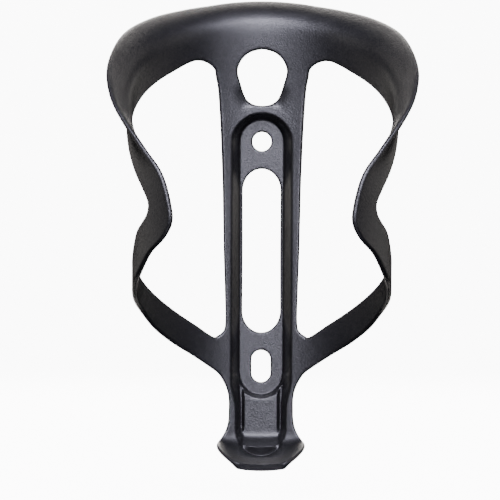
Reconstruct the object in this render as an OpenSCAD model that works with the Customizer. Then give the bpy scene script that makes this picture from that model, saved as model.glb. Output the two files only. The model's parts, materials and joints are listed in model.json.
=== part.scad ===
// Side-wing water bottle cage, a single moulding shown as its functional members.
// The origin is on the rear face of the mounting pad, midway between the bolt holes.
// +Z runs up along the bottle, the bottle stands on the -Y side, +X is the right wing.

/* [Bottle seat] */
// Inside radius of the relaxed seat at the collar
seat_r = 35.6; // [35:0.1:36.2]
// How much smaller the seat's inside radius is at the lower arms
seat_taper = 1.7; // [1.4:0.1:1.9]
// Distance from the mounting face to the bottle's axis
axis_depth = 43; // [42.8:0.1:43.6]

/* [Shell] */
// Wall thickness of the collar and the arms
wall = 1.6; // [1.4:0.1:1.8]
// How far the flared rim stands out from the collar wall
flare_out = 5.5; // [4.5:0.1:5.5]
// Width of the strip along the rim that flares
flare_width = 8.5; // [7.5:0.5:9]
// Height of the rim above the origin at the middle of the collar
rim_top = 70.8; // [70:0.2:72]

/* [Mounting pad] */
// Distance between the two frame bolts
bolt_spacing = 64; // [64:1:64]
// Radius of the bolt hole, and half the width of the bolt slot
bolt_r = 2.7; // [2.6:0.05:2.8]
// End-to-end length of the lower bolt slot
slot_length = 9.1; // [8:0.1:10]
// Thickness of the mounting pad
pad_t = 2; // [1.8:0.1:2.2]
// Half the width of the mounting pad
pad_r = 6.2; // [6:0.1:6.3]
// Half the width of the long window in the pad
window_r = 5.4; // [5:0.1:5.5]

/* [Foot] */
// Radius of the bend from the spine into the foot
bend_r = 7; // [6.6:0.1:7.6]
// Angle of the bend
bend_angle = 75; // [72:1:78]
// Length of the foot past the bend
foot_length = 9.5; // [8.5:0.5:10.5]
// Thickness of the foot
foot_t = 2; // [1.8:0.1:2.2]

/* [Hidden] */
$fn = 96;
moulding = "#26262b";
eps = 0.01;
big = 100;

bolt_z = bolt_spacing / 2;
seam_phi = 22;          // angle round the bottle axis where the spine meets a wing
taper_top = 30;         // the seat narrows between these two heights
taper_bottom = -5;
recess_r = 8.5;         // half the width of the recess at the flanges
recess_end_z = -34.3;   // centre of the recess's lower round end
wall_back_r = 7.4;      // half the width of the recess wall at the mounting face
head_top = 59;          // the head panel ends and the collar begins
bend_z = -49.2;         // the spine starts to bend into the foot
step_back = 1.2;        // the spine's rear face below the pad stands this far forward
tongue_y = -5.2;        // front face of the raised tongue

// ---- surfaces ----------------------------------------------------------

function mix(a, b, t) = a + (b - a) * t;
function clamp01(t) = min(1, max(0, t));
function ease(t) = let (c = clamp01(t)) c * c * (3 - 2 * c);

// Radius of the middle of the wall at height z
function mid_r(z) = seat_r + wall / 2
    - seat_taper * ease((taper_top - z) / (taper_top - taper_bottom));

// Unit vectors at angle phi round the bottle's axis, 0 at the spine and positive to the left
function outward(phi) = [-sin(phi), cos(phi), 0];
function along(phi) = [-cos(phi), -sin(phi), 0];

// Depth of the seat's inside and outside faces at x, seen from the mounting face
function seat_y(x, z, side) = -axis_depth
    + sqrt(pow(mid_r(z) + side * wall / 2, 2) - x * x);

// Catmull-Rom value between rows of a table, t counted in rows
function row(table, i) = table[min(len(table) - 1, max(0, i))];
function spline(table, t) = let (
        i = min(len(table) - 2, floor(t)),
        u = t - i,
        p0 = row(table, i - 1), p1 = row(table, i), p2 = row(table, i + 1), p3 = row(table, i + 2)
    ) p1 + u / 2 * (p2 - p0 + u * (2 * p0 - 5 * p1 + 4 * p2 - p3 + u * (3 * (p1 - p2) + p3 - p0)));

// One point of a band's section. The section runs from [phi, z] a to b, which is the rim.
// v is 0 to 1 across it, flare 0 to 1, and side -1 for the bottle's side or 1 for the outside.
function band_point(a, b, flare, v, side) = let (
        phi = mix(a[0], b[0], v),
        z = mix(a[1], b[1], v),
        across = [(b[0] - a[0]) * PI / 180 * mid_r(z), b[1] - a[1]],
        width = norm(across),
        rise = clamp01(1 - (1 - v) * width / flare_width),
        slope = atan(2 * flare * flare_out / flare_width * rise),
        climb = (along(phi) * across[0] + [0, 0, across[1]]) / width,
        r = mid_r(z) + flare * flare_out * rise * rise,
        normal = outward(phi) * cos(slope) - climb * sin(slope)
    ) [0, -axis_depth, z] + outward(phi) * r + normal * side * wall / 2;

// Closed section of a band, up the bottle's side and back down the outside
function band_section(a, b, flare) = let (n = 10) concat(
        [for (i = [0 : n]) band_point(a, b, flare, i / n, -1)],
        [for (i = [n : -1 : 0]) band_point(a, b, flare, i / n, 1)]
    );

// Solid skinned over closed sections that all have the same number of points. Each section is
// a strip folded in two, so point i faces point n - 1 - i and the ends are capped in pairs.
module skin(sections) {
    n = len(sections[0]);
    last = (len(sections) - 1) * n;
    points = [for (s = sections) each s];
    sides = [for (j = [0 : len(sections) - 2]) for (i = [0 : n - 1])
        let (a = j * n + i, b = j * n + (i + 1) % n) each [[a, b, b + n], [a, b + n, a + n]]];
    start = [for (i = [0 : n / 2 - 2]) each [[i, n - 1 - i, i + 1], [i + 1, n - 1 - i, n - 2 - i]]];
    end = [for (f = start) [f[2] + last, f[1] + last, f[0] + last]];
    polyhedron(points, concat(sides, start, end));
}

// ---- wings ---------------------------------------------------------------

// Rows along a wing, from the upper seam round the tip to the lower seam:
// [phi, z] of the window's edge, [phi, z] of the rim or leading edge, share of the flare
wing_rows = [
    [22, 52.2, 22, 69.3, 1],
    [26, 54.0, 26.5, 68.8, 1],
    [32, 54.5, 33, 67.9, 1],
    [46, 50.8, 47, 65.4, 1],
    [60, 46.5, 63, 61.1, 1],
    [74, 41.3, 79, 55.5, 1],
    [87, 36.2, 95, 47.5, 0.95],
    [98, 31.2, 107, 39.3, 0.75],
    [106.5, 26.5, 116.5, 32.3, 0.45],
    [113.5, 21.7, 123.4, 27.0, 0.2],
    [120.4, 17.3, 131, 21.1, 0.05],
    [123.6, 13.4, 135.2, 13.2, 0],
    [122.7, 10.8, 135.6, 8.7, 0],
    [119.5, 8.6, 131, 4.9, 0],
    [112, 6.2, 120, 0.8, 0],
    [104, 2.6, 107.5, -4.8, 0],
    [94.5, -1, 97, -8.3, 0],
    [84, -4.8, 86, -11.8, 0],
    [70, -8.6, 71, -15.6, 0],
    [57.4, -12.3, 58, -20.1, 0],
    [45, -16.2, 45.5, -24.3, 0],
    [33, -20.1, 33, -28.4, 0],
    [22, -23.8, 22, -32.5, 0]
];
shoulder_end = 5;       // rows where one member of the wing meets the next
upper_arm_end = 10;
tip_end = 14;
wing_end = len(wing_rows) - 1;
steps_per_row = 4;

function wing_section(t) = let (r = spline(wing_rows, t))
    band_section([r[0], r[1]], [r[2], r[3]], clamp01(r[4]));

module wing_member(from, to) {
    skin([for (k = [0 : (to - from) * steps_per_row]) wing_section(from + k / steps_per_row)]);
}

module on_right() {
    mirror([1, 0, 0]) children();
}

module left_shoulder() {
    color(moulding) wing_member(0, shoulder_end);
}

module left_upper_arm() {
    color(moulding) wing_member(shoulder_end, upper_arm_end);
}

module left_grip_tip() {
    color(moulding) wing_member(upper_arm_end, tip_end);
}

module left_lower_arm() {
    color(moulding) wing_member(tip_end, wing_end);
}

module right_shoulder() {
    on_right() left_shoulder();
}

module right_upper_arm() {
    on_right() left_upper_arm();
}

module right_grip_tip() {
    on_right() left_grip_tip();
}

module right_lower_arm() {
    on_right() left_lower_arm();
}

// ---- collar and head -----------------------------------------------------

// The rim falls away gently from its highest point to the seams
function rim_z(phi) = rim_top - (rim_top - wing_rows[0][3]) * pow(phi / seam_phi, 2);

module collar_bridge() {
    steps = 12;
    color(moulding) skin([for (k = [0 : steps]) let (phi = seam_phi * (2 * k / steps - 1))
        band_section([phi, head_top], [phi, rim_z(phi)], 1)]);
}

// Turns a front view drawn in x and z into a block through the whole spine
module through_front() {
    rotate([90, 0, 0]) translate([0, 0, -big / 2]) linear_extrude(big) children();
}

// The seat's inside, grown into the wall
module seat_space(grow) {
    translate([0, -axis_depth, -big]) cylinder(r = seat_r + grow, h = 2 * big);
}

// Points on an arc about a centre, from one direction to another in degrees
function arc(centre, r, from, to, n) = [for (i = [0 : n])
    let (a = mix(from, to, i / n)) centre + r * [cos(a), sin(a)]];

// Weight-saving hole in the head: a large round top that narrows to a smaller round bottom
module teardrop() {
    upper_r = 7.05;
    upper_z = 50.8;
    lower_r = 5.6;
    lower_z = 47;
    lean = asin((upper_r - lower_r) / (upper_z - lower_z));
    polygon(concat(
        arc([0, upper_z], upper_r, -lean, 180 + lean, 40),
        arc([0, lower_z], lower_r, 180 + lean, 360 - lean, 24)
    ));
}

// Half of the head's front outline: the rail's edge, then the corner under the collar
module head_outline() {
    edge = [
        [11.2, bolt_z], [12, 43.5], [12.4, 48], [12.7, 50], [13.2, 51.5], [14.2, 52.4], [14.2, head_top]
    ];
    polygon(concat(edge, [for (i = [len(edge) - 1 : -1 : 0]) [-edge[i][0], edge[i][1]]]));
}

// Round end of the recess about the upper bolt, or of the wall behind it. It is straight as
// far as the pad's face and then widens to wide_r at the flanges' depth.
module recess_end(narrow_r, wide_r, straight, depth, start, turn) {
    reach = depth + 2;
    last_r = narrow_r + (wide_r - narrow_r) * (reach - straight) / (depth - straight);
    translate([0, 0, bolt_z]) rotate([90, 0, 0]) rotate_extrude(angle = turn)
        polygon([[0, start], [narrow_r, start], [narrow_r, straight + eps], [last_r, reach], [0, reach]]);
}

// Everything that is cut out of the head: the recess and the teardrop
module head_cuts() {
    recess_end(pad_r, recess_r, pad_t, -seat_y(recess_r, bolt_z, -1), -1, 360);
    through_front() teardrop();
}

module head_panel() {
    color(moulding) {
        difference() {
            intersection() {
                through_front() head_outline();
                translate([0, -axis_depth, 0]) rotate([0, 0, 90 - seam_phi])
                    rotate_extrude(angle = 2 * seam_phi) translate([seat_r, bolt_z])
                    square([wall, head_top - bolt_z]);
            }
            head_cuts();
        }
        difference() {
            recess_end(wall_back_r, 9.7, 0, 7, 0, 180);
            seat_space(wall / 2);
            head_cuts();
        }
    }
}

// ---- spine ---------------------------------------------------------------

// A slot or stadium with its ends' centres at heights a and b
module stadium(r, a, b) {
    translate([0, a]) circle(r);
    translate([0, b]) circle(r);
    translate([-r, a]) square([2 * r, b - a]);
}

// The long window: straight sides and half-elliptical ends
module long_window(top, bottom, end_length) {
    polygon([for (a = [0 : 5 : 360])
        [window_r * cos(a), end_length * sin(a) + (a <= 180 ? top - end_length : bottom + end_length)]]);
}

module mounting_pad() {
    slot_reach = slot_length / 2 - bolt_r;
    color(moulding) rotate([90, 0, 0]) linear_extrude(pad_t) difference() {
        stadium(pad_r, recess_end_z, bolt_z);
        translate([0, bolt_z]) circle(bolt_r);
        stadium(bolt_r, -bolt_z - slot_reach, -bolt_z + slot_reach);
        long_window(24.2, -22.4, 6.2);
    }
}

// [z, x] along a rail's outer edge, from the foot's bend up to the head. It swells into
// the root of the lower arm, where it is cut off at the seam.
rail_edge = [
    [bend_z, 9.3], [-48, 9], [-44, 8.7], [-41, 8.75], [-39, 9.1], [-37, 9.8], [-35.5, 10.6],
    [-34, 11.6], [-33.2, 12.3], [-32.5, 13.2], [-30, 14], [-27, 14], [-23.8, 13.2], [-23.5, 12.5],
    [-22.7, 11.2], [-21.7, 10], [-20, 9.7], [-10, 9.8], [0, 10.1], [10, 10.3], [20, 10.6], [bolt_z, 11.2]
];

// Points of a rail's section at height z: up the back of the recess wall and out along the
// flange's back, then in along the flange's front and down the recess to the pad
function rail_section(z, edge) = let (
        low = ease((-35 - z) / 7),
        step = ease((-41 - z) / 2.5),
        back_y = -step_back * step,
        floor_y = -pad_t - step_back * step,
        root_x = mix(recess_r, 6.9, low),
        back_x = mix(9.3, 8, low),
        n = 4,
        outer = min(edge, mid_r(z) * sin(seam_phi)),
        outer_phi = asin(outer / mid_r(z)),
        front_r = mid_r(z) - wall / 2,
        rear_r = mid_r(z) + wall / 2,
        back_phi = asin(back_x / rear_r),
        root_phi = asin(root_x / front_r)
    ) concat(
        [[-pad_r, back_y, z], [-mix(wall_back_r, 7, low), back_y, z]],
        [for (i = [0 : n]) let (phi = mix(min(back_phi, outer_phi - 0.2), outer_phi, i / n))
            [0, -axis_depth, z] + outward(phi) * rear_r],
        [for (i = [n : -1 : 0]) let (phi = mix(root_phi, outer_phi, i / n))
            [0, -axis_depth, z] + outward(phi) * front_r],
        [[-mix(7.35, 6.55, low), mix(-6.2, -7, low), z], [-pad_r, floor_y, z]]
    );

module left_rail() {
    heights = [for (k = [0 : len(rail_edge) - 2]) each
        let (parts = rail_edge[k + 1][0] - rail_edge[k][0] > 4 ? 3 : 2)
        [for (j = [0 : parts - 1]) mix(rail_edge[k], rail_edge[k + 1], j / parts)]];
    color(moulding) skin([for (e = concat(heights, [rail_edge[len(rail_edge) - 1]]))
        rail_section(e[0], e[1])]);
}

module right_rail() {
    on_right() left_rail();
}

// Raised tongue under the pad, with a groove each side of it
module lower_panel() {
    tongue_x = 4.7;
    tongue_top = -40.5;
    step_z = -42.2;
    overlap = 0.3;
    color(moulding) rotate([90, 0, 0]) {
        linear_extrude(pad_t) difference() {
            translate([-pad_r, step_z]) square([2 * pad_r, recess_end_z - step_z]);
            translate([0, recess_end_z]) circle(pad_r);
        }
        translate([0, 0, step_back]) linear_extrude(pad_t)
            translate([-pad_r, bend_z]) square([2 * pad_r, step_z - bend_z]);
        translate([0, 0, step_back + overlap]) linear_extrude(-tongue_y - step_back - overlap)
            difference() {
                translate([-tongue_x, bend_z]) square([2 * tongue_x, tongue_top - bend_z]);
                translate([0, recess_end_z]) circle(pad_r + 0.8);
            }
    }
}

// ---- foot ----------------------------------------------------------------

bend_length = bend_r * bend_angle * PI / 180;
foot_end = bend_length + foot_length;
foot_dish = 1 / (2 * seat_r - 2 * seat_taper);  // the foot keeps the seat's curve across its width
trough_end = 0.55 * foot_end;                   // how far along the foot the recess runs

// Direction angle, and place on the middle line, at distance q along the foot
function foot_angle(q) = min(q / bend_length, 1) * bend_angle;
function foot_middle(q) = let (
        a = foot_angle(q),
        rest = max(0, q - bend_length),
        start_y = seat_y(0, bend_z, -1)
    ) [0, start_y - bend_r * (1 - cos(a)) - rest * sin(a), bend_z - bend_r * sin(a) - rest * cos(a)];

// Point at x across the foot, h below its upper face
function foot_point(q, x, h) = let (a = foot_angle(q))
    foot_middle(q) + [x, 0, 0] + [0, -cos(a), sin(a)] * (x * x * foot_dish - h);

// Half the width of the foot: [share of its length, x]
foot_widths = [
    [0, 9.3], [0.1, 10.5], [0.22, 11.4], [0.35, 11.8], [0.48, 11.2], [0.6, 10], [0.73, 8.5],
    [0.85, 7.4], [0.935, 6.5], [0.98, 5.4], [1, 4]
];

function foot_section(q, half) = let (
        fade = ease((trough_end - q) / 3),
        heel = ease((bend_length - q) / bend_length),
        root = min(mix(4, 6.9, ease((trough_end - q) / 6)), half - 1.2),
        front_y = seat_y(0, bend_z, -1),
        deep = mix(0.05, mix(1.1, tongue_y - front_y, ease((9 - q) / 9)), fade),
        back = mix(foot_t + deep, -step_back - front_y, heel),
        top = [[-half, 0], [-mix(half, root, 0.5), 0], [-root, 0], [-root + 1.2, deep]],
        low = [[-half, foot_t], [-mix(half, root, 0.3), foot_t], [-root - 0.6, mix(foot_t, back, 0.5)],
            [-root + 0.6, back]]
    ) concat(
        [for (p = low) foot_point(q, p[0], p[1])],
        [for (i = [3 : -1 : 0]) foot_point(q, -low[i][0], low[i][1])],
        [for (p = top) foot_point(q, -p[0], p[1])],
        [for (i = [3 : -1 : 0]) foot_point(q, top[i][0], top[i][1])]
    );

module toe() {
    rows = [for (k = [0 : len(foot_widths) - 2]) each
        [for (j = [0 : 2]) mix(foot_widths[k], foot_widths[k + 1], j / 3)]];
    color(moulding) skin([for (r = concat(rows, [foot_widths[len(foot_widths) - 1]]))
        foot_section(r[0] * foot_end, r[1])]);
}

// ---- assembly ------------------------------------------------------------

mounting_pad();
left_rail();
right_rail();
head_panel();
collar_bridge();
lower_panel();
toe();
left_shoulder();
left_upper_arm();
left_grip_tip();
left_lower_arm();
right_shoulder();
right_upper_arm();
right_grip_tip();
right_lower_arm();
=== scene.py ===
"""Looks for the water bottle cage: one satin black moulding, built as a fine closed shell.

The shell is laid out flat first. Its two flat coordinates are a, the way round the bottle's
axis, positive to the left, and b, the height, which past the foot's bend runs on as the length
along the foot. The flat outline is filled with triangles, and a front and a rear sheet are then
wrapped into place and joined along their rounded edges. Work is in millimetres, and the meshes
are scaled to metres when they are made. y is 0 on the mounting face and falls towards the
bottle.
"""

import json
import math

import bpy
import numpy as np
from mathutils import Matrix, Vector
from mathutils.geometry import delaunay_2d_cdt
from mathutils.kdtree import KDTree


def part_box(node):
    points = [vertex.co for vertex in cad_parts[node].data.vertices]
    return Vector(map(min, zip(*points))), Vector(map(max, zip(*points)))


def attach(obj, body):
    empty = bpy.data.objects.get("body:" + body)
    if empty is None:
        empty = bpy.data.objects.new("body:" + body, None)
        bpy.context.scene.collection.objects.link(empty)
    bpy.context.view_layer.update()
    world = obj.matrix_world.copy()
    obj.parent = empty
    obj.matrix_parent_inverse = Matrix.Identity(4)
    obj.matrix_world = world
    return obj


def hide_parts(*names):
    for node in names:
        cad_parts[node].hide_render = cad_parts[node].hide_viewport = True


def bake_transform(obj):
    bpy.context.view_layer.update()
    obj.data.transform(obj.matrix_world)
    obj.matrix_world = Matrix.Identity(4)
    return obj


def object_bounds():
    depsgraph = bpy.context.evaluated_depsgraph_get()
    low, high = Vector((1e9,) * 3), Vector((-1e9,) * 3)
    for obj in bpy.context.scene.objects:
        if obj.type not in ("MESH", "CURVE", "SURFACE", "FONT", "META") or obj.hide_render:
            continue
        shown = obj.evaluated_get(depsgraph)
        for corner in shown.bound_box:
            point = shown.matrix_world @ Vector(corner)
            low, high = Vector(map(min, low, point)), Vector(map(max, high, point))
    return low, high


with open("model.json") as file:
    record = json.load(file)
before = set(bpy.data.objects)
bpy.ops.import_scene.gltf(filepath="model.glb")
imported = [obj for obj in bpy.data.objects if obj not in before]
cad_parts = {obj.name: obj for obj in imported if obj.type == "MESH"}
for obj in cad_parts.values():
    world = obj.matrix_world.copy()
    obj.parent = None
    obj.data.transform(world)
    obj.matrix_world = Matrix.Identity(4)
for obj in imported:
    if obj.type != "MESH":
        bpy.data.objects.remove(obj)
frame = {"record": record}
cad_low, cad_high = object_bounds()
record = frame["record"]
MM = 0.001


# ---- sizes, from the frame where it holds them -----------------------------


def mount(name):
    return next(m for m in record["mounts"] if m["name"] == name)


def low(node):
    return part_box(node)[0] / MM


def high(node):
    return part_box(node)[1] / MM


BOLT_R = mount("upper_bolt_hole")["dims"]["r_mm"]
BOLT_Z = mount("upper_bolt_hole")["pos_m"][2] / MM
SLOT_Z = mount("lower_bolt_slot")["pos_m"][2] / MM
SLOT_LENGTH = mount("lower_bolt_slot")["dims"]["slot_length_mm"]
PAD_T = -low("mounting_pad").y
BEND_Z = low("lower_panel").z
STEP_BACK = -high("toe").y
TONGUE_Y = low("lower_panel").y

# Seat and collar
SEAT_R = 35.6  # inside radius of the seat where it is widest, below the collar
SEAT_TAPER = 1.7  # how much smaller it is at the lower arms
TAPER_TOP, TAPER_HEIGHT = 30, 35  # where the taper starts, and over how much height it grows
AXIS_DEPTH = 43.0  # from the mounting face to the bottle's axis
WALL = 1.6
R0 = SEAT_R + WALL / 2  # radius at which the flat layout has its true width
COLLAR_LEAN = 2.0  # how far the collar leans in below its flare
LEAN_START, LEAN_HEIGHT = 40, 28
FLARE_OUT = 7.3
FLARE_WIDTH = 10.0
FLARE_CURVE = 3  # power with which the flare stands out towards the rim
RIM_TOP = 70.95
SEAM_PHI = 22.0  # angle at which the collar meets the shoulders
RIM_ANGLES = (0, 7.5, 15)  # places on the collar's rim, from its middle
COLLAR_Z = high("head_panel").z
SILL_DEPTH = 1.1  # how far the edge below the teardrop opening is rolled back
SILL_WIDTH = 3.8
SPINE_X, SPINE_BLEND = 10.0, 1.5  # where the spine's section turns into the seat's plain wall
WING_ROOT_END_Z, WING_ROOT_BLEND = -33, 3  # below this the whole width is spine

# Foot
BEND_DROP = 1.2  # how far below the lower panel the foot's bend starts
BEND_R = 4.5
BEND_ANGLE = math.radians(70)
BEND_LENGTH = BEND_R * BEND_ANGLE
FOOT_LENGTH = 12.0
FOOT_END = BEND_DROP + BEND_LENGTH + FOOT_LENGTH
FOOT_T = 2.0
FOOT_BLEND = 4.0  # length over which the spine's section turns into the foot's
EAR_T = 1.4  # thickness of the foot's ears, to each side of its lip
EAR_X, EAR_BLEND = 6.5, 2.5  # where the foot starts to thin towards its ears, and over what width
EAR_LIFT = 0.75  # how much of the seat's curve the foot keeps past the bend
LIP_T = 0.5  # the middle of the foot's front edge is this much thicker below
LIP_START, LIP_BLEND = 14.0, 3.0
LIP_X, LIP_SIDE = 6.9, 1.8

# Rounded edges
EDGE_R = WALL / 2  # rounding along the outline
HOLE_EDGE_R = 0.45  # rounding at the holes through the pad
RING_ANGLES = np.radians([0, 18, 36, 54, 72, 90])  # rings of vertices over the rounding

# Along a wing, from the collar round the tip to the lower root:
# angle and height on the window's edge, angle and height on the rim, share of the flare
WING_ROWS = [
    (22, 52.2, 22, 69.35, 1),
    (26, 54.0, 26.5, 68.8, 1),
    (32, 54.5, 33, 67.9, 1),
    (46, 50.8, 47, 65.5, 1),
    (60, 46.5, 63, 61.4, 1),
    (74, 41.3, 79, 55.6, 0.92),
    (87, 36.2, 95, 47.6, 0.93),
    (96.5, 31.4, 107, 39.4, 0.8),
    (103.5, 26.8, 116.5, 32.3, 0.5),
    (111, 21.8, 123.4, 27.0, 0.25),
    (118, 17.3, 131, 21.1, 0.05),
    (122, 13.4, 135.2, 13.2, 0),
    (120.5, 10.8, 135.6, 8.7, 0),
    (116, 8.7, 131, 4.9, 0),
    (108.5, 6.1, 120, 0.8, 0),
    (102, 2.6, 107.5, -4.8, 0),
    (94.5, -1.0, 97, -8.3, 0),
    (84, -4.8, 86, -12.0, 0),
    (70, -8.6, 71, -16.0, 0),
    (57.4, -12.3, 58, -20.6, 0),
    (45, -16.2, 45.5, -24.6, 0),
    (33, -20.1, 33, -28.4, 0),
    (22, -23.8, 22, -32.5, 0),
]
MEMBER_ENDS = (5, 10, 14)  # rows where one member of the wing meets the next
MEMBERS = ("shoulder", "upper_arm", "grip_tip", "lower_arm")
MEMBER_MIDDLES = (2, 7, 11, 18)  # a row inside each member

# Height and half the spine's width, above the lower wing root and below it
RAIL_ABOVE = [
    (-23.4, 12.3), (-22.7, 11.25), (-21.6, 10.35), (-19.8, 10.0), (-10, 10.15), (0, 10.5),
    (10, 10.7), (20, 10.9), (32, 11.35), (43.5, 12.0), (47.5, 12.4), (50, 12.9),
]
RAIL_BELOW = [
    (-33.2, 12.2), (-34, 11.5), (-35.5, 10.6), (-37, 9.9), (-39, 9.25), (-41, 8.95), (-44, 8.95),
    (-47, 9.1),
]
# Half the foot's width at shares of its length
FOOT_WIDTHS = [
    (0.0, 9.6), (0.1, 10.4), (0.18, 11.15), (0.26, 11.8), (0.34, 12.2), (0.42, 12.35), (0.5, 12.2),
    (0.58, 11.75), (0.67, 11.0), (0.77, 9.95), (0.87, 8.75), (0.94, 7.7), (0.98, 6.7), (0.995, 4.8),
    (1.0, 1.8),
]
# Half the teardrop opening's width at each height, from its top
TEARDROP_ROWS = [
    (57.85, 0.0), (57.5, 2.0), (56.85, 3.7), (55.75, 5.1), (54.6, 6.0), (53.4, 6.6), (52.2, 6.93),
    (51.0, 6.9), (48.9, 6.35), (46.7, 5.6), (44.7, 4.9), (43.7, 4.35), (42.8, 3.3), (42.2, 1.8),
    (42.0, 0.0),
]
# Material kept outside the rows of WING_ROWS, RAIL_BELOW and FOOT_WIDTHS, at each height
RIM_EXTRA = [
    (-50, 0.1), (-38, 0.25), (-32, 0.5), (-12, 0.55), (2, 0.85), (30, 0.95), (60, 0.95), (70, 0.75),
]
WINDOW_EXTRA = 0.22  # and inside the two windows
LONG_WINDOW_X = 5.4  # half the width of the long window between the bolts
LONG_WINDOW_TOP, LONG_WINDOW_BOTTOM = 24.2, -22.4
LONG_WINDOW_END = 6.2  # height of its round ends

# Spacing of the vertices
EDGE_SPACING = 0.5
OPENING_SPACING = 0.45
BOLT_HOLE_SPACING = 0.3
SEAM_SPACING = 0.5
FLARE_SPACING = 0.7
GRID = 0.62
GRID_GAP = 0.42  # least distance of the grid's points to others
RECESS_GAP = 0.17  # the same for the rows along the recess's walls
NOSE_GAP = 0.035  # and for the rows across the tongue's nose
RING_GAP = 0.22  # least distance to a rolled edge's innermost ring
OUTER_RING_GAP = 0.9  # and to its other rings


# ---- small maths -------------------------------------------------------------


def mix(a, b, t):
    return a + (b - a) * t


def clamp01(t):
    return np.clip(t, 0.0, 1.0)


def ease(t):
    t = clamp01(t)
    return t * t * (3 - 2 * t)


def wall_profile(t, top_round, foot_round):
    """0 to 1 down a wall: a parabola over top_round, a straight part, a parabola over foot_round."""
    t = clamp01(t)
    slope = 1 / (1 - top_round / 2 - foot_round / 2)
    top = slope * t * t / (2 * top_round)
    middle = slope * (t - top_round / 2)
    foot = 1 - slope * (1 - t) ** 2 / (2 * foot_round)
    return np.where(t < top_round, top, np.where(t > 1 - foot_round, foot, middle))


def soft_min(a, b, width):
    """The smaller of two curves, rounded where they cross."""
    t = clamp01(0.5 + (b - a) / (2 * width))
    return mix(b, a, t) - width * t * (1 - t)


def mid_r(z):
    """Radius of the middle of the wall, without its flare."""
    taper = SEAT_TAPER * ease((TAPER_TOP - z) / TAPER_HEIGHT)
    return R0 - taper - COLLAR_LEAN * ease((z - LEAN_START) / LEAN_HEIGHT)


def to_flat(x, z):
    """Flat coordinates of a place x to the left of the middle, at height z."""
    return R0 * math.asin(x / float(mid_r(z))), z


def on_wing(phi, z):
    """Flat coordinates of a place phi degrees round to the left, at height z."""
    return R0 * math.radians(phi), z


def x_of(a, b):
    """Distance left of the middle of a flat place."""
    return mid_r(b) * np.sin(a / R0)


def resample(points, spacing):
    """Points evenly spaced along a closed line, starting at its first point."""
    closed = np.vstack([points, points[:1]])
    steps = np.linalg.norm(np.diff(closed, axis=0), axis=1)
    run = np.concatenate([[0], np.cumsum(steps)])
    count = max(12, round(run[-1] / spacing))
    at = np.arange(count) * run[-1] / count
    return np.column_stack([np.interp(at, run, closed[:, k]) for k in range(closed.shape[1])])


def smooth_loop(points, spacing):
    """A closed centripetal Catmull-Rom curve through the points, evenly sampled."""
    p = np.array(points, float)
    n = len(p)
    made = []
    for i in range(n):
        q = [p[(i + k) % n] for k in (-1, 0, 1, 2)]
        t = [0.0]
        for k in range(3):
            t.append(t[-1] + math.sqrt(np.linalg.norm(q[k + 1] - q[k])))
        for s in np.linspace(t[1], t[2], 24, endpoint=False):
            a = [mix(q[k], q[k + 1], (s - t[k]) / (t[k + 1] - t[k])) for k in range(3)]
            b = [mix(a[k], a[k + 1], (s - t[k]) / (t[k + 2] - t[k])) for k in range(2)]
            made.append(mix(b[0], b[1], (s - t[1]) / (t[2] - t[1])))
    return resample(np.array(made), spacing)


def arc(centre, r, start, end, n):
    angles = np.radians(np.linspace(start, end, n))
    return np.column_stack([centre[0] + r * np.cos(angles), centre[1] + r * np.sin(angles)])


# ---- the flat outline ----------------------------------------------------------


def rim_z(phi):
    """Height of the collar's rim."""
    return RIM_TOP - (RIM_TOP - WING_ROWS[0][3]) * (phi / SEAM_PHI) ** 2


def rim_extra(b):
    """How much further out than its rows the outer outline is kept at a height."""
    heights, amounts = zip(*RIM_EXTRA)
    return np.interp(b, heights, amounts)


def outer_outline():
    half = [on_wing(phi, rim_z(phi)) for phi in RIM_ANGLES]
    half += [on_wing(row[2], row[3]) for row in WING_ROWS]
    half += [to_flat(x, z) for z, x in RAIL_BELOW]
    half += [to_flat(x, BEND_Z - along * FOOT_END) for along, x in FOOT_WIDTHS]
    other = [(-a, b) for a, b in half[1:]][::-1]
    loop = smooth_loop(half + other, EDGE_SPACING)
    return grown(loop, rim_extra(loop[:, 1]))


def window_outline(side):
    loop = [on_wing(row[0], row[1]) for row in WING_ROWS]
    loop += [to_flat(x, z) for z, x in RAIL_ABOVE]
    return grown(smooth_loop([(side * a, b) for a, b in loop], EDGE_SPACING), -WINDOW_EXTRA)


def grown(loop, amount):
    """A closed loop moved outwards by an amount, the same all along or one for each point."""
    along = np.roll(loop, -1, axis=0) - np.roll(loop, 1, axis=0)
    normal = np.column_stack([along[:, 1], -along[:, 0]])
    normal /= np.linalg.norm(normal, axis=1)[:, None]
    area = (loop[:, 0] * np.roll(loop[:, 1], -1) - loop[:, 1] * np.roll(loop[:, 0], -1)).sum()
    return loop + normal * math.copysign(1, area) * np.reshape(amount, (-1, 1))


def spine_hole(points, spacing):
    return resample(np.array([to_flat(x, z) for x, z in points]), spacing)


def teardrop_outline():
    right = [(-x, z) for z, x in TEARDROP_ROWS[-2:0:-1]]
    loop = smooth_loop([(x, z) for z, x in TEARDROP_ROWS] + right, OPENING_SPACING)
    return np.array([to_flat(x, z) for x, z in loop])


def long_window_outline():
    end = LONG_WINDOW_END
    angles = np.radians(np.arange(0, 360, 3))
    middle = np.where(angles < math.pi, LONG_WINDOW_TOP - end, LONG_WINDOW_BOTTOM + end)
    around = np.column_stack([LONG_WINDOW_X * np.cos(angles), middle + end * np.sin(angles)])
    return spine_hole(around, OPENING_SPACING)


def bolt_hole_outline():
    return spine_hole(arc((0, BOLT_Z), BOLT_R, 0, 357, 120), BOLT_HOLE_SPACING)


def slot_outline():
    reach = SLOT_LENGTH / 2 - BOLT_R
    upper = arc((0, SLOT_Z + reach), BOLT_R, 0, 180, 60)
    lower = arc((0, SLOT_Z - reach), BOLT_R, 180, 360, 60)
    return spine_hole(np.vstack([upper, lower]), BOLT_HOLE_SPACING)


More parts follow.
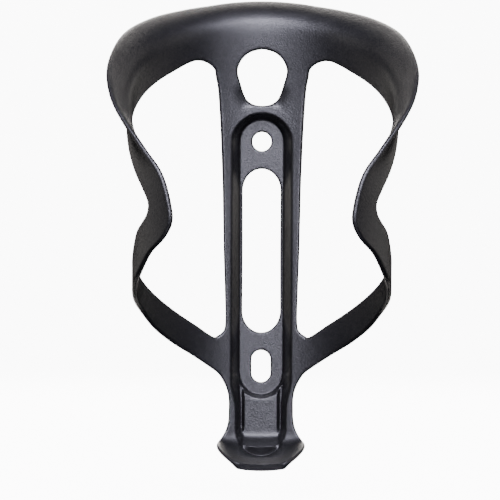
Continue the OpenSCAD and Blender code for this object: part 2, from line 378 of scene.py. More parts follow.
LOOPS = {
    "outer": outer_outline(),
    "left_window": window_outline(1),
    "right_window": window_outline(-1),
    "teardrop": teardrop_outline(),
    "long_window": long_window_outline(),
    "bolt_hole": bolt_hole_outline(),
    "slot": slot_outline(),
}
PAD_HOLES = ("long_window", "bolt_hole", "slot")


def distance_to_line(points, line, values):
    """Distance of each point to an open line, and the line's value at the nearest place."""
    a, d = line[:-1], np.diff(line, axis=0)
    length2 = (d**2).sum(1)
    best, value = np.empty(len(points)), np.empty(len(points))
    batch = 4000  # points at a time, to spare memory
    for i in range(0, len(points), batch):
        p = points[i : i + batch, None, :]
        t = np.clip(((p - a) * d).sum(2) / length2, 0, 1)
        dist = np.linalg.norm(p - (a + t[..., None] * d), axis=2)
        k = dist.argmin(1)
        rows = np.arange(len(k))
        best[i : i + batch] = dist[rows, k]
        value[i : i + batch] = mix(values[k], values[k + 1], t[rows, k])
    return best, value


def inside(points, loops):
    """Whether each point is inside the outline and outside its holes.

    Such a point sees an odd number of edges to one side.
    """
    count = np.zeros(len(points), int)
    x, y = points[:, 0:1], points[:, 1:2]
    for loop in loops:
        a, b = loop, np.roll(loop, -1, axis=0)
        crosses = (a[:, 1] > y) != (b[:, 1] > y)
        at = a[:, 0] + (y - a[:, 1]) * (b[:, 0] - a[:, 0]) / (b[:, 1] - a[:, 1] + 1e-12)
        count += (crosses & (x < at)).sum(1)
    return count % 2 == 1


def even_grid(loops):
    """Staggered rows of points between the places where each row crosses the outlines."""
    starts = np.vstack(loops)
    ends = np.vstack([np.roll(loop, -1, axis=0) for loop in loops])
    heights = np.arange(starts[:, 1].min(), starts[:, 1].max(), GRID * math.sqrt(3) / 2)
    made = []
    for k, b in enumerate(heights):
        hit = (starts[:, 1] > b) != (ends[:, 1] > b)
        s, e = starts[hit], ends[hit]
        at = np.sort(s[:, 0] + (b - s[:, 1]) * (e[:, 0] - s[:, 0]) / (e[:, 1] - s[:, 1]))
        for left, right in zip(at[::2], at[1::2]):
            first = math.ceil(left / GRID) * GRID + (k % 2) * GRID / 2
            row = np.arange(first, right, GRID)
            made.append(np.column_stack([row, np.full(len(row), b)]))
    return np.vstack(made)


# ---- recess ----------------------------------------------------------------------

NARROWING_Z, NARROWING_LENGTH = -36, 8  # where the recess narrows below the pad
FOOT_RECESS_B = BEND_Z - 7.0  # where it reaches its width on the foot
# Distances from the middle line to the recess's walls: beside the pad, below it, and on the foot
WALL_TOP = (8.75, 7.2, 6.6)
WALL_FOOT = (6.15, 5.8, 5.7)
REAR_WALL_TOP = (9.6, 8.3, 7.8)
REAR_WALL_FOOT = (7.3, 7.0, 6.4)
HEAD_NARROWING = 0.6  # of the front wall's top, round the recess's upper end
HEAD_REAR_WALL_TOP = 9.3
WING_ROOT = (-23, 13)  # height and half width that the rear wall may use between the two rails' rows
WALL_ROUNDS = (0.5, 0.16)  # shares of the wall that are rounded at its top and its foot
REAR_WALL_ROUNDS = (0.2, 0.4)
LEAST_FLANGE = 0.05  # kept between the rear wall and the spine's edge
PAD_END_Z = -33.95  # centre of the pad's round lower end
PAD_END_R = 6.05
PAD_END_WALL = 0.7  # width of the step down from the pad to the groove round its end
REAR_STEP_Z, REAR_STEP_LENGTH = -41, 2.4  # where the rear face steps away from the frame
TONGUE_X = 4.7  # half the raised tongue's width
TONGUE_WALL = 0.6  # width of the fall at its sides
TONGUE_ROUNDS = (0.35, 0.45)
TONGUE_CORNER = 2.8  # rounding of its corner on the bend
NOSE_END = 5.9  # where the tongue ends, along the foot from the bend's start
NOSE_R = 5.6
NOSE_POWER = 6  # how square its end is
NOSE_STEEP = 0.4  # length of the steep fall at its end
NOSE_DEPTH = 0.3  # of its top, below the foot's flanges
NOSE_DROP = 3.2  # from its top down to the tray in front of it
TRAY_X = 6.3
TRAY_LENGTH = 8


def recess_distance(x, b):
    """Distance from the recess's middle line, which ends at the bolt hole."""
    away = np.maximum(b - BOLT_Z, 0)
    return np.hypot(x, away)


def recess_walls(b):
    """Top and foot of the recess's front wall and of its rear wall, from the middle line."""
    below_pad = ease((NARROWING_Z - b) / NARROWING_LENGTH)
    on_foot = ease((BEND_Z - b) / (BEND_Z - FOOT_RECESS_B))

    def at_height(widths):
        return mix(mix(widths[0], widths[1], below_pad), widths[2], on_foot)

    top = at_height(WALL_TOP) - HEAD_NARROWING * ease((b - BOLT_Z) / 8)
    rows = sorted(RAIL_BELOW) + [WING_ROOT] + RAIL_ABOVE[3:]
    edge = np.interp(b, [z for z, _ in rows], [x for _, x in rows])
    rear_top = np.minimum(at_height(REAR_WALL_TOP), edge - LEAST_FLANGE)
    rear_head = mix(rear_top, HEAD_REAR_WALL_TOP, ease((b - BOLT_Z) / 4))
    rear_top = np.where(b > BOLT_Z, rear_head, rear_top)
    return top, at_height(WALL_FOOT), rear_top, at_height(REAR_WALL_FOOT)


def recess_points():
    """Rows of points that follow the recess's walls and the pad's end, closer than the grid."""
    spacing = 0.55  # along a row
    made = []
    for r in np.arange(4.0, 9.9, 0.3):  # from the tongue's side to the rear wall's top
        for b in np.arange(BEND_Z - FOOT_END, BOLT_Z, spacing):
            made += [(-r, b), (r, b)]
        for angle in np.linspace(0, math.pi, max(8, round(math.pi * r / spacing))):
            made.append((r * math.cos(angle), BOLT_Z + r * math.sin(angle)))
    for r in np.arange(PAD_END_R - 0.3, PAD_END_R + 1.3, 0.2):
        for angle in np.linspace(math.pi, 2 * math.pi, 44):
            made.append((r * math.cos(angle), PAD_END_Z + r * math.sin(angle)))
    foot_tip = BEND_Z - FOOT_END + 0.5
    return np.array([to_flat(x, b) for x, b in made if b > foot_tip])


def nose_points():
    """Close rows of points across the steep end of the tongue."""
    rows = np.arange(NOSE_END - NOSE_STEEP - 0.06, NOSE_END + 0.06, 0.04)
    places = np.arange(-NOSE_R, NOSE_R + 0.1, 0.25)
    return np.array([to_flat(x, BEND_Z - q) for q in rows for x in places])


# ---- filling the outline -----------------------------------------------------------


def edge_rings(loop, outward, r):
    """Copies of a loop moved in from the edge, so that the sheets can roll over it."""
    along = np.roll(loop, -1, axis=0) - np.roll(loop, 1, axis=0)
    normal = np.column_stack([-along[:, 1], along[:, 0]])
    normal /= np.linalg.norm(normal, axis=1)[:, None]
    probe = loop[:1] + normal[:1] * 0.05
    if inside(probe, [loop])[0] == outward:
        normal = -normal
    return [loop + normal * r * (1 - math.cos(t)) for t in RING_ANGLES]


def nearest(points, place):
    return int(np.linalg.norm(points - np.array(place), axis=1).argmin())


def rolled_edges():
    """The rings inside each outline, over which the two sheets roll together.

    Gives their vertices, the triangles between them, each vertex's share of the wall's thickness,
    whether it is at a hole through the pad, and the number of each outline's first vertex.
    """
    verts, quads, share, in_hole = [], [], [], []
    first = {}
    count = 0
    for name, loop in LOOPS.items():
        through_pad = name in PAD_HOLES
        n = len(loop)
        first[name] = count
        rings = edge_rings(loop, name != "outer", HOLE_EDGE_R if through_pad else EDGE_R)
        for angle, ring in zip(RING_ANGLES, rings):
            verts.append(ring)
            share += [math.sin(angle)] * n
            in_hole += [through_pad] * n
        for base in range(count, count + (len(rings) - 1) * n, n):
            for i in range(n):
                j = (i + 1) % n
                quads.append((base + i, base + j, base + n + j, base + n + i))
        count += len(rings) * n
    strips = [(q[0], q[1], q[2]) for q in quads] + [(q[0], q[2], q[3]) for q in quads]
    return np.vstack(verts), np.array(strips), share, in_hole, first


def seam_ends(first):
    """Both ends of each seam between members, as rows of vertices across the rolled edges."""

    def rib(name, place):
        n = len(LOOPS[name])
        start = first[name] + nearest(LOOPS[name], place)
        return [start + k * n for k in range(len(RING_ANGLES))]

    ends = []
    for side, window in ((1, "left_window"), (-1, "right_window")):
        for row in (0, *MEMBER_ENDS, len(WING_ROWS) - 1):
            phi_w, z_w, phi_l, z_l, _ = WING_ROWS[row]
            start = rib(window, (side * on_wing(phi_w, z_w)[0], z_w))
            end = rib("outer", (side * on_wing(phi_l, z_l)[0], z_l))
            ends.append((start, end))
    neck = to_flat(FOOT_WIDTHS[0][1], BEND_Z)
    ends.append((rib("outer", neck), rib("outer", (-neck[0], neck[1]))))
    return ends


def seam_chains(verts, first):
    """The seams as rows of vertices between their two ends, and the vertices added for them."""
    extra = []

    def place(i):
        return verts[i] if i < len(verts) else extra[i - len(verts)]

    def row_between(i, j):
        a, b = place(i), place(j)
        n = max(2, round(np.linalg.norm(b - a) / SEAM_SPACING))
        ids = [i]
        for k in range(1, n):
            extra.append(mix(a, b, k / n))
            ids.append(len(verts) + len(extra) - 1)
        return ids + [j]

    chains = [(start, row_between(start[-1], end[-1]), end) for start, end in seam_ends(first)]
    # the collar meets the head along a level seam between the first seams of the two wings
    joins = []
    for _, ids, _ in (chains[0], chains[len(MEMBERS) + 1]):
        joins.append(min(ids[1:-1], key=lambda i: abs(place(i)[1] - COLLAR_Z)))
    chains.append(([], row_between(*joins), []))
    return chains, np.array(extra)


def kd_tree(points):
    tree = KDTree(len(points))
    for i, p in enumerate(points):
        tree.insert((p[0], p[1], 0), i)
    tree.balance()
    return tree


def thinned(points, gap):
    """The points that are left when each keeps its distance from the ones before it."""
    cells, kept = {}, []
    for p in points:
        cell = (round(p[0] / gap), round(p[1] / gap))
        around = [(cell[0] + i, cell[1] + j) for i in (-1, 0, 1) for j in (-1, 0, 1)]
        near = [cells[c] for c in around if c in cells]
        if all((q[0] - p[0]) ** 2 + (q[1] - p[1]) ** 2 > gap * gap for q in near):
            cells[cell] = p
            kept.append(p)
    return np.array(kept)


def fill_in(verts, share, extra, inner):
    """All the shell's points: those given, then the nose's rows, the recess's and an even grid.

    None of the added points is too close to another or to a rolled edge.
    """
    edge_tree = kd_tree(verts)
    steep = recess_points()
    steep = steep[inside(steep, inner)]
    taken = np.vstack([verts, extra])
    for points, gap in (
        (nose_points(), NOSE_GAP),
        (steep, RECESS_GAP),
        (even_grid(inner), GRID_GAP),
    ):
        tree = kd_tree(taken)
        chosen = []
        for p in points:
            _, i, edge_gap = edge_tree.find((p[0], p[1], 0))
            innermost = share[i] > 0.99
            clear = edge_gap > (RING_GAP if innermost else OUTER_RING_GAP)
            chosen.append(clear and tree.find((p[0], p[1], 0))[2] > gap)
        points = points[np.array(chosen)]
        if gap < GRID / 2:
            points = thinned(points, gap)
        taken = np.vstack([taken, points])
    return taken


def triangulate(points, edge_count, lines, inner):
    """Triangles over the shell inside its rolled edges, with the rings and the seams as edges.

    The first edge_count points belong to the rolled edges, which are strips already.
    """
    edges = [edge for line in lines for edge in zip(line, line[1:])]
    wanted = sorted({i for edge in edges for i in edge} | set(range(edge_count, len(points))))
    index = {v: k for k, v in enumerate(wanted)}
    flat = [Vector((points[i][0], points[i][1])) for i in wanted]
    flat_edges = [(index[i], index[j]) for i, j in edges]
    _, _, flat_faces, source, _, _ = delaunay_2d_cdt(flat, flat_edges, [], 0, 1e-7)
    if not all(source):
        raise RuntimeError("two outlines cross")
    back = [wanted[s[0]] for s in source]
    tris = np.array([[back[i] for i in face] for face in flat_faces])
    # a triangle between three edge points may lie outside the outline or in a hole
    unsure = (tris < edge_count).all(1)
    keep = np.ones(len(tris), bool)
    keep[unsure] = inside(points[tris[unsure]].mean(1), inner)
    return tris[keep]


def build_flat():
    """The flat shell.

    Gives its points, its triangles, the edges along its seams, the numbers of the points on its
    outlines, each point's share of the wall's thickness, and whether it is at a hole in the pad.
    """
    verts, strips, share, in_hole, first = rolled_edges()
    rings = []
    for name, loop in LOOPS.items():
        start = first[name] + (len(RING_ANGLES) - 1) * len(loop)
        rings.append(range(start, start + len(loop)))
    inner = [verts[ring.start : ring.stop] for ring in rings]
    chains, extra = seam_chains(verts, first)
    points = fill_in(verts, share, extra, inner)
    lines = [[*ring, ring[0]] for ring in rings] + [ids for _, ids, _ in chains]
    faces = np.vstack([triangulate(points, len(verts), lines, inner), strips])
    corner = points[faces[:, 0]]
    area = np.cross(points[faces[:, 1]] - corner, points[faces[:, 2]] - corner)
    faces[area < 0] = faces[area < 0][:, ::-1]
    cuts = set()
    for start, ids, end in chains:
        path = start[:-1] + ids + end[:-1][::-1]
        cuts |= {tuple(sorted(edge)) for edge in zip(path, path[1:])}
    rim = {first[name] + i for name, loop in LOOPS.items() for i in range(len(loop))}
    added = len(points) - len(verts)
    share = np.concatenate([share, np.ones(added)])
    in_hole = np.concatenate([in_hole, np.zeros(added, bool)])
    return points, faces, cuts, rim, share, in_hole


# ---- wrapping the sheets ---------------------------------------------------------------


def seat_depth(x, b, side):
    """y of the seat's wall x from the middle: its inner face for side -1, its outer face for 1."""
    return -AXIS_DEPTH + np.sqrt(np.maximum(0, (mid_r(b) + side * WALL / 2) ** 2 - x**2))


def flare_at(flat):
    """How far the middle of the wall stands out from the seat, from its distance to the rim."""
    rim = [(*on_wing(-row[2], row[3]), row[4]) for row in WING_ROWS[::-1]]
    rim += [(*on_wing(-phi, rim_z(phi)), 1) for phi in RIM_ANGLES[:0:-1]]
    rim += [(*on_wing(phi, rim_z(phi)), 1) for phi in RIM_ANGLES]
    rim += [(*on_wing(row[2], row[3]), row[4]) for row in WING_ROWS]
    loop = smooth_loop(rim, FLARE_SPACING)
    loop[:, :2] = grown(loop[:, :2], rim_extra(loop[:, 1]))
    last = nearest(loop[:, :2], rim[-1][:2])
    line = loop[: last + 1]
    away, flare = distance_to_line(flat, line[:, :2], line[:, 2])
    # the edge below the teardrop opening is rolled back over a wide radius
    edge = LOOPS["teardrop"]
    gap, _ = distance_to_line(flat, np.vstack([edge, edge[:1]]), np.zeros(len(edge) + 1))
    below = ease((edge[:, 1].mean() - 2 - flat[:, 1]) / 3)
    sill = SILL_DEPTH * below * clamp01(1 - gap / SILL_WIDTH) ** 2
    return sill + clamp01(flare) * FLARE_OUT * clamp01(1 - away / FLARE_WIDTH) ** FLARE_CURVE


def vertex_normals(co, faces):
    n = np.cross(co[faces[:, 1]] - co[faces[:, 0]], co[faces[:, 2]] - co[faces[:, 0]])
    made = np.zeros_like(co)
    for k in range(3):
        np.add.at(made, faces[:, k], n)
    return made / np.maximum(np.linalg.norm(made, axis=1), 1e-12)[:, None]


def seat_sheets(flat, faces, share):
    """Front and rear of the wings, the collar and the head: the seat's wall with its flare."""
    phi = flat[:, 0] / R0
    r = mid_r(flat[:, 1]) + flare_at(flat)
    middle = np.column_stack([-r * np.sin(phi), -AXIS_DEPTH + r * np.cos(phi), flat[:, 1]])
    normal = vertex_normals(middle, faces)
    outward = np.column_stack([-np.sin(phi), np.cos(phi), np.zeros(len(phi))])
    normal *= np.sign((normal * outward).sum(1))[:, None]
    half_wall = (share * WALL / 2)[:, None]
    return middle - normal * half_wall, middle + normal * half_wall


def past_bend(b):
    """Length along the foot from the lower panel's end, and 0 above it."""
    return np.maximum(0, BEND_Z - b)


def bend_turn(q):
    """Angle that the spine has turned towards the bottle."""
    return clamp01((q - BEND_DROP) / BEND_LENGTH) * BEND_ANGLE


def spine_base(x, b):
    """The seat's inner face carried on round the foot's bend, and the direction of depth there."""
    q = past_bend(b)
    turn = bend_turn(q)
    drop = np.minimum(q, BEND_DROP)
    rest = np.maximum(0, q - BEND_DROP - BEND_LENGTH)
    upright_z = np.maximum(b, BEND_Z)
    inner = seat_depth(x, upright_z, -1)
    y = inner - BEND_R * (1 - np.cos(turn)) - rest * np.sin(turn)
    z = upright_z - drop - BEND_R * np.sin(turn) - rest * np.cos(turn)
    # the foot keeps a part of the seat's curve, so its ears are raised
    lift = EAR_LIFT * (seat_depth(0, upright_z, -1) - inner)
    y += lift * (1 - np.cos(turn))
    z += lift * np.sin(turn)
    down = np.column_stack([np.zeros(len(x)), np.cos(turn), -np.sin(turn)])
    return np.column_stack([-x, y, z]), down


def flange_depths(x, b, share):
    """Depths of the two faces of the flanges, and of the foot's ears, below the seat's face."""
    q = past_bend(b)
    upright_z = np.maximum(b, BEND_Z)
    wall = seat_depth(x, upright_z, 1) - seat_depth(x, upright_z, -1)
    foot_wall = mix(FOOT_T, EAR_T, ease((np.abs(x) - EAR_X) / EAR_BLEND))
    wall = mix(wall, foot_wall, ease(q / FOOT_BLEND))
    lip = LIP_T * ease((q - LIP_START) / LIP_BLEND) * ease((LIP_X - np.abs(x)) / LIP_SIDE)
    return wall / 2 * (1 - share), wall / 2 * (1 + share) + lip * share


def recess_depths(x, b, hole_share):
    """Depths of the two faces of the recess's floor: pad and groove, then tongue and tray."""
    q = past_bend(b)
    turn = bend_turn(q)
    on_foot = ease(q / FOOT_BLEND)
    mounting_face = -seat_depth(x, np.maximum(b, BEND_Z), -1)  # its depth
    pad_middle = mounting_face - PAD_T / 2
    pad_front = pad_middle - PAD_T / 2 * hole_share
    rear_step = ease((REAR_STEP_Z - b) / REAR_STEP_LENGTH) * STEP_BACK
    pad_rear = pad_middle + PAD_T / 2 * hole_share - rear_step
    # distance past the pad's round lower end, and well inside the pad above it
    past_pad = np.where(b < PAD_END_Z, np.hypot(x, b - PAD_END_Z) - PAD_END_R, -9)
    groove = pad_front - STEP_BACK * ease(past_pad / PAD_END_WALL)

    # the raised tongue runs on round the bend and ends in a round nose on the foot
    past_nose_start = np.maximum(0, q - NOSE_END + NOSE_R)
    nose = (np.abs(x) ** NOSE_POWER + past_nose_start**NOSE_POWER) ** (1 / NOSE_POWER)
    half_width = mix(TONGUE_X + TONGUE_WALL, NOSE_R, on_foot)
    in_tongue = (half_width - nose) / mix(TONGUE_WALL, NOSE_STEEP, on_foot)
    in_tongue = np.minimum(in_tongue, (past_pad - 0.5) / PAD_END_WALL)
    tongue = wall_profile(in_tongue, *TONGUE_ROUNDS)
    # its corner on the bend is tighter than the flanges', as it stays upright for longer
    upright = (BEND_R + mounting_face + TONGUE_Y) / np.cos(turn)
    level = (BEND_R + NOSE_DEPTH) / np.cos(BEND_ANGLE - turn)
    raised = soft_min(upright, level, TONGUE_CORNER) - BEND_R
    along_tray = clamp01(1 - (q - NOSE_END) / TRAY_LENGTH)
    tray = NOSE_DROP * clamp01(1 - (x / TRAY_X) ** 2) * along_tray
    front = mix(mix(tray, groove, 1 - on_foot), raised, tongue)
    return front, mix(tray + FOOT_T, pad_rear, 1 - on_foot)


def wrap_sheets(flat, faces, share, in_hole):
    """Front and rear position of every flat point."""
    wall_share = np.where(in_hole, 1, share)
    hole_share = np.where(in_hole, share, 1)
    seat_front, seat_rear = seat_sheets(flat, faces, wall_share)

    b = flat[:, 1]
    x = x_of(flat[:, 0], b)
    away = recess_distance(x, b)
    top, foot, rear_top, rear_foot = recess_walls(b)
    down_front = wall_profile((top - away) / (top - foot), *WALL_ROUNDS)
    down_rear = wall_profile((rear_top - away) / (rear_top - rear_foot), *REAR_WALL_ROUNDS)
    flange_front, flange_rear = flange_depths(x, b, wall_share)
    recess_front, recess_rear = recess_depths(x, b, hole_share)
    base, down = spine_base(x, b)
    spine_front = base + down * mix(flange_front, recess_front, down_front)[:, None]
    spine_rear = base + down * mix(flange_rear, recess_rear, down_rear)[:, None]

    # the seat's wall takes over just outside the recess, but not below the lower wing roots
    beside = ease((away - SPINE_X) / SPINE_BLEND)
    below = ease((WING_ROOT_END_Z - b) / WING_ROOT_BLEND)
    spine = np.maximum(1 - beside, below)[:, None]
    return mix(seat_front, spine_front, spine), mix(seat_rear, spine_rear, spine)


# ---- pieces -------------------------------------------------------------------------------


def edges_of(tri):
    """A triangle's three edges in its own direction, each with a key that has no direction."""
    for i, j in ((tri[0], tri[1]), (tri[1], tri[2]), (tri[2], tri[0])):
        yield (min(i, j), max(i, j)), (i, j)


def split_members(faces, cuts):
    """Labels each triangle by the member it is in, members being parted by the seams."""
    owners = {}
    for f, tri in enumerate(faces):
        for key, _ in edges_of(tri):
            owners.setdefault(key, []).append(f)
    links = [[] for _ in faces]
    for key, sharing in owners.items():
        if len(sharing) == 2 and key not in cuts:
            links[sharing[0]].append(sharing[1])
            links[sharing[1]].append(sharing[0])
    label = np.full(len(faces), -1)
    count = 0
    for f in range(len(faces)):
        if label[f] >= 0:
            continue
        stack = [f]
        label[f] = count
        while stack:
            for g in links[stack.pop()]:
                if label[g] < 0:
                    label[g] = count
                    stack.append(g)
        count += 1
    return label


def piece_mesh(name, faces, rim, front, rear, normals_front, normals_rear):
    """A closed mesh of one member: two sheets, joined at rolled edges and capped at its seams."""
    used = sorted(set(faces.ravel()))
    front_id, rear_id, co, normals = {}, {}, [], []
    for v in used:
        front_id[v] = len(co)
        co.append(front[v])
        normals.append(normals_front[v])
    for v in used:
        if v in rim:
            rear_id[v] = front_id[v]
        else:
            rear_id[v] = len(co)
            co.append(rear[v])
            normals.append(normals_rear[v])
    polys = []
    uses = {}
    for tri in faces:
        a, b, c = tri
        polys.append((front_id[a], front_id[c], front_id[b]))
        polys.append((rear_id[a], rear_id[b], rear_id[c]))
        for key, edge in edges_of(tri):
            uses.setdefault(key, []).append(edge)
    for key, directed in uses.items():
        if len(directed) == 1 and not (key[0] in rim and key[1] in rim):
            i, j = directed[0]
            ring = [front_id[i], front_id[j], rear_id[j], rear_id[i]]
            ring = [v for k, v in enumerate(ring) if v != ring[k - 1]]
            if len(ring) > 2:
                polys.append(tuple(ring))
    mesh = bpy.data.meshes.new(name)
    mesh.from_pydata([tuple(v * MM) for v in co], [], polys)
    mesh.validate()
    for p in mesh.polygons:
        p.use_smooth = True
    mesh.normals_split_custom_set_from_vertices([tuple(v) for v in normals])
    piece = bpy.data.objects.new(name, mesh)
    bpy.context.scene.collection.objects.link(piece)
    return piece


def member_places():
    """A place on the flat shell inside each member."""
    places = {
        "collar_bridge": (0, 65),
        "spine": (0, 27.5),
        "toe": (0, BEND_Z - 12),
    }
    for side, sign in (("left", 1), ("right", -1)):
        for member, row in zip(MEMBERS, MEMBER_MIDDLES):
            phi_w, z_w, phi_l, z_l, _ = WING_ROWS[row]
            middle = mix(np.array(on_wing(phi_w, z_w)), np.array(on_wing(phi_l, z_l)), 0.5)
            places[f"{side}_{member}"] = (sign * middle[0], middle[1])
    return places


def build_cage():
    flat, faces, cuts, rim, share, in_hole = build_flat()
    front, rear = wrap_sheets(flat, faces, share, in_hole)
    # both sheets share their vertices on the outlines, so that light runs smoothly over the edge
    rim_ids = np.array(sorted(rim))
    rear_map = np.arange(len(flat)) + len(flat)
    rear_map[rim_ids] = rim_ids
    both = np.vstack([faces[:, ::-1], rear_map[faces]])
    normals = vertex_normals(np.vstack([front, rear]), both)
    normals_front, normals_rear = normals[: len(flat)], normals[rear_map]
    label = split_members(faces, cuts)
    centres = flat[faces].mean(1)
    made = {}
    for name, place in member_places().items():
        chosen = faces[label == label[nearest(centres, place)]]
        made[name] = piece_mesh(
            name + "_shell", chosen, rim, front, rear, normals_front, normals_rear
        )
    print("cage:", len(flat), "points,", len(faces), "triangles,", label.max() + 1, "members")
    return made


# ---- material --------------------------------------------------------------------------------

ROUGHNESS = 0.37
ROUGHNESS_WANDER = 0.035
RUBBED = -0.07  # change of the roughness where an edge is worn
GRAIN_DEPTH = 0.00009  # metres, as are the noises' coordinates
GRAIN_SCALE, FINE_GRAIN_SCALE = 2000, 6500  # pits about 0.5 mm and 0.15 mm across
FLOW_SCALE = 150
FIBRE_SCALE = 900
BLACK = (0.003, 0.003, 0.0036, 1)
FIBRE_GREY = (0.006, 0.0058, 0.0062, 1)


def node(tree, kind, **values):
    made = tree.nodes.new(kind)
    for key, value in values.items():
        setattr(made, key, value)
    return made


def moulded_plastic():
    """Satin black fibre-filled nylon: a fine sandy grain, faint flow marks, and rubbed edges."""
    mat = bpy.data.materials.new("satin_black_nylon")
    mat.use_nodes = True
    tree = mat.node_tree
    link = tree.links.new
    shader = tree.nodes["Principled BSDF"]
    place = node(tree, "ShaderNodeTexCoord")

    def noise(scale, detail):
        made = node(tree, "ShaderNodeTexNoise")
        made.inputs["Scale"].default_value = scale
        made.inputs["Detail"].default_value = detail
        link(place.outputs["Object"], made.inputs["Vector"])
        return made.outputs["Fac"]

    def spread(value, low_in, high_in, low_out, high_out):
        made = node(tree, "ShaderNodeMapRange")
        made.inputs["From Min"].default_value = low_in
        made.inputs["From Max"].default_value = high_in
        made.inputs["To Min"].default_value = low_out
        made.inputs["To Max"].default_value = high_out
        link(value, made.inputs["Value"])
        return made.outputs["Result"]

    def add(a, b):
        made = node(tree, "ShaderNodeMath", operation="ADD")
        link(a, made.inputs[0])
        link(b, made.inputs[1])
        return made.outputs["Value"]

    # grain left by the sand-blasted mould, with a finer one on top
    grain = noise(GRAIN_SCALE, 2)
    fine = noise(FINE_GRAIN_SCALE, 2)
    height = add(grain, spread(fine, 0, 1, 0, 0.5))
    bump = node(tree, "ShaderNodeBump")
    bump.inputs["Strength"].default_value = 0.8
    bump.inputs["Distance"].default_value = GRAIN_DEPTH
    link(height, bump.inputs["Height"])
    link(bump.outputs["Normal"], shader.inputs["Normal"])
    # edges catch a little wear: Pointiness is above a half where the surface is convex
    shape = node(tree, "ShaderNodeNewGeometry")
    worn = spread(shape.outputs["Pointiness"], 0.52, 0.62, 0, 1)
    # roughness wanders over a few millimetres where flow marks show
    smoothest, roughest = ROUGHNESS - ROUGHNESS_WANDER, ROUGHNESS + ROUGHNESS_WANDER
    base_rough = spread(noise(FLOW_SCALE, 4), 0.25, 0.75, smoothest, roughest)
    link(add(base_rough, spread(worn, 0, 1, 0, RUBBED)), shader.inputs["Roughness"])
    # black pigment with faint grey where the glass fibres lie near the surface
    tone = node(tree, "ShaderNodeValToRGB")
    black, grey = tone.color_ramp.elements
    black.position, black.color = 0.35, BLACK
    grey.position, grey.color = 0.8, FIBRE_GREY
    link(add(noise(FIBRE_SCALE, 3), spread(worn, 0, 1, 0, 0.25)), tone.inputs["Fac"])
    link(tone.outputs["Color"], shader.inputs["Base Color"])
    return mat


# ---- scene --------------------------------------------------------------------------------------


FLOOR_DROP = 0.016  # the cage hangs this far above the floor, in metres
FLOOR_FRONT, FLOOR_REACH = -2.4, 1.9  # the floor runs from here to there, past the camera
FLOOR_HALF_WIDTH = 2.6
SWEEP_HEIGHT, SWEEP_R = 2.6, 0.6


def backdrop():
    """A pale floor that curves up into a backdrop well behind the cage, like a paper sweep."""
    floor_z = cad_low.z - FLOOR_DROP
    foot_y = FLOOR_REACH - SWEEP_R
    profile = [(y, floor_z) for y in (FLOOR_FRONT, -0.5, 0.1, foot_y)]
    for angle in np.radians(np.arange(1, 13) * 7.5):
        rise = SWEEP_R * (1 - math.cos(angle))
        profile.append((foot_y + SWEEP_R * math.sin(angle), floor_z + rise))
    profile.append((FLOOR_REACH, floor_z + SWEEP_HEIGHT))
    verts = [(s * FLOOR_HALF_WIDTH, y, z) for y, z in profile for s in (-1, 1)]
    polys = [(2 * k, 2 * k + 1, 2 * k + 3, 2 * k + 2) for k in range(len(profile) - 1)]
    mesh = bpy.data.meshes.new("floor")
    mesh.from_pydata(verts, [], polys)
    for p in mesh.polygons:
        p.use_smooth = True
    floor = bpy.data.objects.new("floor", mesh)
    bpy.context.scene.collection.objects.link(floor)
    mat = bpy.data.materials.new("pale_paper")
    mat.use_nodes = True
    tree = mat.node_tree
    shader = tree.nodes["Principled BSDF"]
    shader.inputs["Base Color"].default_value = (0.82, 0.82, 0.82, 1)
    shader.inputs["Roughness"].default_value = 0.9
    shader.inputs["Emission Color"].default_value = (1, 1, 1, 1)
    # the paper glows behind the cage, as if lit by its own lamps, and less in front of it
    place = node(tree, "ShaderNodeTexCoord")
    split = node(tree, "ShaderNodeSeparateXYZ")
    glow = node(tree, "ShaderNodeMapRange", interpolation_type="SMOOTHSTEP")
    glow.inputs["From Min"].default_value = -0.35
    glow.inputs["From Max"].default_value = 0.08
    glow.inputs["To Min"].default_value = 2
    glow.inputs["To Max"].default_value = 10
    tree.links.new(place.outputs["Object"], split.inputs["Vector"])
    tree.links.new(split.outputs["Y"], glow.inputs["Value"])
    tree.links.new(glow.outputs["Result"], shader.inputs["Emission Strength"])
    mesh.materials.append(mat)
    # the cage is lit by the lamps alone: the bright paper is only seen
    floor.visible_shadow = False
    floor.visible_diffuse = False
    floor.visible_glossy = False


COOL = (0.85, 0.84, 1.0)
WARM = (1.0, 0.95, 0.91)
LAMP_DISTANCE = 1.1  # metres
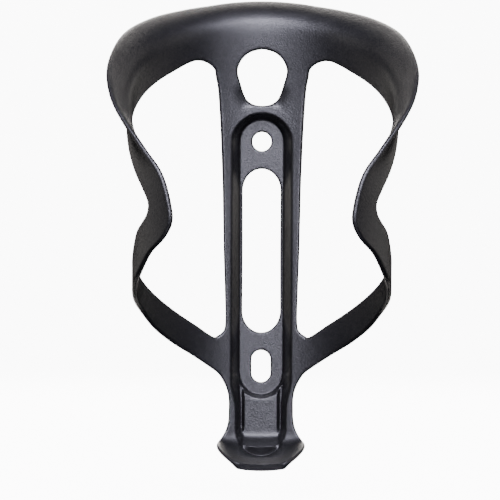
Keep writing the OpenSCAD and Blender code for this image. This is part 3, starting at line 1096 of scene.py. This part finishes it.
# Lamps around the cage: angle from the front, height angle, size in metres, power and colour.
# One that stands to the side is there twice, once on each side.
LAMPS = (
    ("low", 0, 11, 0.34, 10.8, COOL),
    ("key", 0, 43, 0.34, 21, COOL),
    ("top", 0, 78, 0.5, 1.4, COOL),
    ("wide", 25, 33, 0.4, 5, COOL),
    ("wide_low", 29, -5, 0.4, 3, COOL),
    ("flank", 50, 45, 0.4, 1.5, COOL),
    ("bounce", 0, -60, 0.4, 1.5, COOL),
    ("side", 80, 20, 0.5, 1, WARM),
    ("rim", 110, -5, 0.7, 1.0, WARM),
    ("back", 138, 20, 0.8, 2, WARM),
    ("back_low", 165, -25, 0.5, 2, WARM),
    ("back_high", 165, 42, 0.5, 2, WARM),
    ("back_top", 180, 45, 0.5, 1, WARM),
    ("rear", 180, 24, 0.5, 6, WARM),
)


def softbox(name, place, aim, size, power, colour):
    light = bpy.data.lights.new(name, "AREA")
    light.shape = "DISK"
    light.size = size
    light.energy = power
    light.color = colour
    lamp = bpy.data.objects.new(name, light)
    lamp.location = place
    lamp.rotation_euler = (lamp.location - aim).to_track_quat("Z", "Y").to_euler()
    lamp.visible_camera = False
    bpy.context.scene.collection.objects.link(lamp)


def lights():
    world = bpy.data.worlds.new("studio")
    bpy.context.scene.world = world
    world.use_nodes = True
    background = world.node_tree.nodes["Background"]
    background.inputs["Color"].default_value = (1, 1, 1, 1)
    background.inputs["Strength"].default_value = 10
    # the walls of the room are seen but don't light the cage: its front faces a dark studio
    world.cycles_visibility.diffuse = False
    world.cycles_visibility.glossy = False
    middle = (cad_low + cad_high) / 2
    for name, around, up, size, power, colour in LAMPS:
        sides = {"left": -1, "right": 1} if 0 < around < 180 else {"right": 1}
        for side, sign in sides.items():
            a, e = math.radians(sign * around), math.radians(up)
            away = Vector((math.sin(a) * math.cos(e), -math.cos(a) * math.cos(e), math.sin(e)))
            place = middle + away * LAMP_DISTANCE
            softbox(f"{name}_{side}", place, middle, size, power, colour)


def camera():
    """Level and square to the spine, a metre in front of it, with a long lens."""
    data = bpy.data.cameras.new("camera")
    data.sensor_width = 36
    data.lens = 252.7
    cam = bpy.data.objects.new("camera", data)
    cam.location = (-0.00326, -1.002, 0.00107)
    cam.rotation_euler = (math.radians(90), math.radians(-0.25), 0)
    bpy.context.scene.collection.objects.link(cam)
    bpy.context.scene.camera = cam


# The CAD nodes that the spine's piece stands for. Each other piece stands for the node of its name.
REPLACED = {"spine": ["mounting_pad", "left_rail", "right_rail", "head_panel", "lower_panel"]}

plastic = moulded_plastic()
for name, piece in build_cage().items():
    piece.data.materials.append(plastic)
    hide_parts(*REPLACED.get(name, [name]))
    if name.startswith(("left_", "right_")):
        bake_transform(piece)
    else:
        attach(piece, "spine")

backdrop()
lights()
camera()
